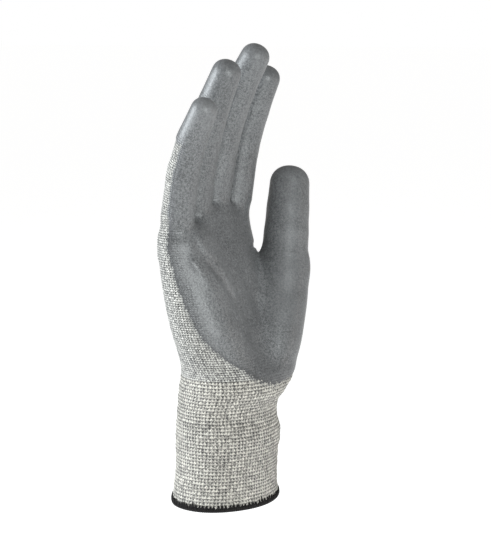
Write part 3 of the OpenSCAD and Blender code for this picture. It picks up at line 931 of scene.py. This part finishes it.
for finger in fingers:
    cut_off(lambda c, f=finger: (c - f.base) @ f.way(0) > -8
            and abs((c - f.base) @ f.side_way(0)) < f.radii[0] + FINGER_REACH,
            finger.centre(np.array(FINGER_FOOT)), finger.way(0))
cut_off(lambda c: (c - thumb.base) @ thumb.straight > -6
        and np.linalg.norm(np.cross(c - thumb.base, thumb.straight)) < thumb.radii[0] + THUMB_REACH,
        thumb.centre(np.array(THUMB_FOOT)), thumb.straight)
cut_off(lambda c: c[2] < WRIST_TOP + 2, (0, 0, WRIST_TOP), (0, 0, -1))
above = [f for f in hand.faces if f.calc_center_median().z > HAND_TOP]
bmesh.ops.delete(hand, geom=above, context="FACES")
bmesh.ops.delete(hand, geom=[v for v in hand.verts if not v.link_faces], context="VERTS")
bmesh.ops.triangulate(hand, faces=[f for f in hand.faces if len(f.verts) > 4])
hand.verts.index_update()
hand_points = np.array([v.co[:] for v in hand.verts])
hand_faces = np.array([([v.index for v in f.verts] + [NONE])[:4] for f in hand.faces])
hand.free()


def middle_of(points, faces):
    total = points[faces[:, :3]].sum(axis=1)
    four = faces[:, 3] != NONE
    total[four] += points[faces[four, 3]]
    return total / np.where(four, 4, 3)[:, None]


def part_of(faces, keep):
    """The faces that keep picks, renumbered, and the points that they use."""
    chosen = faces[keep]
    used = np.unique(chosen[chosen != NONE])
    place = np.full(faces.max() + 2, NONE)
    place[used] = np.arange(len(used))
    return used, place[chosen]


def finer(points, faces):
    """Every face divided into one face for each of its corners."""
    pairs, real = edges_of(faces)
    low, high = pairs.min(axis=2), pairs.max(axis=2)
    key = low.astype(np.int64) * len(points) + high
    keys, which = np.unique(key[real], return_inverse=True)
    halves = (points[keys // len(points)] + points[keys % len(points)]) / 2
    middle = np.full(faces.shape, NONE)
    middle[real] = which + len(points)
    centre = np.arange(len(faces)) + len(points) + len(halves)
    before = np.roll(middle, 1, 1)
    triangle = faces[:, 3] == NONE
    before[triangle, 0] = middle[triangle, 2]
    fine = np.stack([faces, middle, np.broadcast_to(centre[:, None], faces.shape), before], axis=-1)
    return np.vstack([points, halves, middle_of(points, faces)]), fine[real]


def hand_stitches(p):
    return np.stack([HAND_WALES * oval_turn(p) / (2 * math.pi), p[:, 2] / HAND_ROW], axis=1)


face_depth = dip_depth(middle_of(hand_points, hand_faces))
LAP = 3.0                           # how far the fine knit runs in under the coating
LINING_SET_IN = 0.1

used, back_faces = part_of(hand_faces, face_depth < LAP)
back_points, back_faces = finer(hand_points[used], back_faces)
back_points, back_out = settle(back_points, 2)
back_uv = hand_stitches(back_points)
back_points = back_points + back_out * (HAND_RELIEF * stitch_height(*back_uv.T))[:, None]
back_knit = layer("hand_back_knit", back_points, back_out, back_faces, back_uv, KNIT_THICK, hand_yarn,
                  edge=dip_depth(back_points), smooth_out=False)
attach(back_knit, "palm")
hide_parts("palm_knit")

used, lining_faces = part_of(hand_faces, face_depth >= LAP)
lining_points, lining_out = settle(hand_points[used], 1)
lining = layer("palm_lining_knit", lining_points - lining_out * LINING_SET_IN, lining_out, lining_faces,
               hand_stitches(lining_points), KNIT_THICK - LINING_SET_IN, hand_yarn)
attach(lining, "palm")

# ---- Palm coating --------------------------------------------------------------------------------
# The dip on the palm: it runs from the heel of the hand over the palm and round both its edges, and
# ends in a ragged line across the stitches.

used, coat_faces = part_of(hand_faces, face_depth > COAT_START)
coat_points, coat_out = settle(hand_points[used], 1)
coat_uv = hand_stitches(coat_points)
coat_depth = dip_depth(coat_points)
coat_points = coat_points + coat_out * coat_offset(coat_depth, stitch_wobble(coat_uv))[:, None]
palm_coat = layer("palm_dip", coat_points, coat_out, coat_faces, coat_uv, COAT_THICK, coating,
                  edge=coat_depth)
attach(palm_coat, "palm")
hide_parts("palm_coating")

heel_points, heel_out, heel_faces = sleeve_skin(BEND_Z + 3, WRIST_TOP, 0.5, SLEEVE_COLUMNS)
used, heel_faces = part_of(heel_faces, dip_depth(middle_of(heel_points, heel_faces)) > COAT_START)
heel_points, heel_out = heel_points[used], heel_out[used]
heel_uv = hand_stitches(heel_points)
heel_depth = dip_depth(heel_points)
heel_points = heel_points + heel_out * coat_offset(heel_depth, stitch_wobble(heel_uv))[:, None]
heel = layer("heel_dip", heel_points, heel_out, heel_faces, heel_uv, COAT_THICK, coating,
             edge=heel_depth)
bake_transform(heel)

# ---- Finger and thumb stalls ---------------------------------------------------------------------
# Each stall is knitted as a tube closed at its tip. The dip covers its palm side and all of its
# end; the back stays bare knit. It is divided midway between joints.

BLUNT = 2 / 2.25                    # below 1, a stall's end is blunter than a half ball
FOOT_TOP = 16                       # below this a stall may run into the palm's side


def stall_skin(stall, low, high, step, columns, foot_blend):
    """Rings square to the centre line from low to high; past the last stretch the end closes."""
    closed = high > stall.length
    straight_end = min(high, stall.length)
    ts = list(np.linspace(low, straight_end, max(2, int(round((straight_end - low) / step)) + 1)))
    tip = stall.radii[-1]
    rings = [(t, None) for t in ts]
    if closed:
        steps = max(6, int(tip * 1.5 / step))
        rings += [(stall.length, e) for e in np.linspace(0, math.pi / 2, steps + 1)[1:-1]]
    turn = np.arange(columns) * 2 * math.pi / columns - math.pi
    centres, outs, reaches, along = [], [], [], []
    for t, e in rings:
        way, pad, side = stall.way(t), stall.palm_way(t), stall.side_way(t)
        centre = stall.centre(np.array(t))
        r = float(stall.radius(np.array(t)))
        if e is not None:
            centre = centre + way * r * math.sin(e) ** BLUNT
        centres.append(np.tile(centre, (columns, 1)))
        outs.append(np.cos(turn)[:, None] * pad + np.sin(turn)[:, None] * side)
        reaches.append(np.full(columns, r if e is None else r * math.cos(e) ** BLUNT))
        along.append(np.full(columns, t if e is None else stall.length + r * e))
    centres, outs, reaches, along = (np.concatenate(v) for v in (centres, outs, reaches, along))
    foot = along < FOOT_TOP
    if foot.any():
        middle, way_out, r = centres[foot], outs[foot], reaches[foot]
        near, far = r * 0.5, r + 7
        for _ in range(22):
            half = (near + far) / 2
            p = middle + way_out * half[:, None]
            d = soft_min(palm_distance(p), half - r, foot_blend) + fold_depth(p)
            near, far = np.where(d < 0, half, near), np.where(d < 0, far, half)
        reaches[foot] = (near + far) / 2
    points = [centres + outs * reaches[:, None]]
    along = [along]
    faces = grid_faces(len(rings), columns)
    if closed:
        end = np.array(stall.length)
        tip_point = stall.centre(end) + stall.way(stall.length) * float(stall.radius(end))
        points.append(tip_point[None])
        along.append(np.array([stall.length + tip * math.pi / 2]))
        last = (len(rings) - 1) * columns
        j = last + np.arange(columns)
        fan = np.stack([j, last + (j - last + 1) % columns, np.full(columns, last + columns),
                        np.full(columns, NONE)], axis=1)
        faces = np.vstack([faces, fan])
    points, along = np.vstack(points), np.concatenate(along)
    turns = np.concatenate([np.tile(turn, len(rings)), [0.0] if closed else []])
    a, b, c = (points[faces[:, k]] for k in range(3))
    face_out = np.cross(b - a, c - a)
    outward = np.zeros_like(points)
    for k in range(4):
        real = faces[:, k] != NONE
        for axis in range(3):
            outward[:, axis] += np.bincount(faces[real, k], face_out[real, axis], len(points))
    outward /= np.linalg.norm(outward, axis=1, keepdims=True) + 1e-12
    if low < FOOT_TOP:
        rim = along < low + 0.01
        if rim.any():
            outward[rim] = slope(points[rim])[0]
    return points, outward, faces, turns, along


def stall_piece(name, stall, body_pair, low, high, part, foot_blend, bare_half, tip_cover, wales, coat):
    step, columns = (0.9, 72) if coat else (0.5, 132)
    p, out, faces, turn, along = stall_skin(stall, low, high, step, columns, foot_blend)
    radius = stall.radius(np.minimum(along, stall.length))
    around = (bare_half - np.abs(turn)) * radius
    over_tip = along - (stall.length + stall.radii[-1] * math.pi / 2 - tip_cover)
    depth = np.maximum(around, over_tip)
    uv = np.stack([wales * turn / (2 * math.pi), along / HAND_ROW], axis=1)
    if coat:
        used, faces = part_of(faces, depth[faces[:, :3]].mean(axis=1) > COAT_START)
        p, out, depth, uv = p[used], out[used], depth[used], uv[used]
        p = p + out * coat_offset(depth, stitch_wobble(uv))[:, None]
        piece = layer(name, p, out, faces, uv, COAT_THICK, coating, edge=depth)
    else:
        bare = ramp(1.5, -1.0, depth)
        sunk = 0.12 * (1 - bare)
        p = p + out * (HAND_RELIEF * stitch_height(*uv.T) * bare - sunk)[:, None]
        piece = layer(name, p, out, faces, uv, KNIT_THICK, hand_yarn, edge=depth,
                      smooth_out=False)
    a, b, start, end = body_pair
    metres(stall.centre(np.array(float(start))))
    metres(stall.centre(np.array(float(end))))
    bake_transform(piece)
    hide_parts(part)
    return piece


FINGER_BARE = math.radians(97)
THUMB_BARE = math.radians(118)
TIP_COVER = 31                      # the dip over the end, measured round it from the very tip
STALL_JOIN = 0.3                    # the spans handed to each piece start and end this far inside a stall's length
PARTS = ["proximal", "middle", "distal"]

for name, finger in zip(FINGERS, fingers):
    first, second = finger.joints[1], finger.joints[2]
    a_end = max(first - 9.0, FINGER_FOOT + 15.2)
    b_end = first + 8.2 if first < 30 else first + 10
    cuts = [FINGER_FOOT, a_end, b_end, finger.length + 1]
    bodies = ["palm"] + [f"{name}_{part}" for part in PARTS]
    spans = [(FINGER_FOOT + STALL_JOIN, a_end - STALL_JOIN), (a_end + STALL_JOIN, b_end - STALL_JOIN),
             (max(second - 8, b_end + STALL_JOIN), second + 8)]
    for k, part in enumerate(PARTS):
        pair = (bodies[k], bodies[k + 1], *spans[k])
        for coat, kind in ((False, "knit"), (True, "coating")):
            stall_piece(f"{name}_{part}_{'dip' if coat else 'stall'}", finger, pair, cuts[k], cuts[k + 1],
                        f"{name}_{part}_{kind}", WEB_BLEND, FINGER_BARE, TIP_COVER, 38, coat)

THUMB_PARTS = ["root", "proximal", "distal"]
thumb_cuts = [THUMB_FOOT, 12, 22, thumb.length + 1]
thumb_spans = [(THUMB_FOOT + 0.3, 11.7), (12.3, 21.7), (22.4, 35)]
thumb_bodies = ["palm"] + [f"thumb_{part}" for part in THUMB_PARTS]
for k, part in enumerate(THUMB_PARTS):
    pair = (thumb_bodies[k], thumb_bodies[k + 1], *thumb_spans[k])
    for coat, kind in ((False, "knit"), (True, "coating")):
        stall_piece(f"thumb_{part}_{'dip' if coat else 'stall'}", thumb, pair,
                    thumb_cuts[k], thumb_cuts[k + 1], f"thumb_{part}_{kind}",
                    THUMB_BLEND, THUMB_BARE, TIP_COVER + 3, 46, coat)
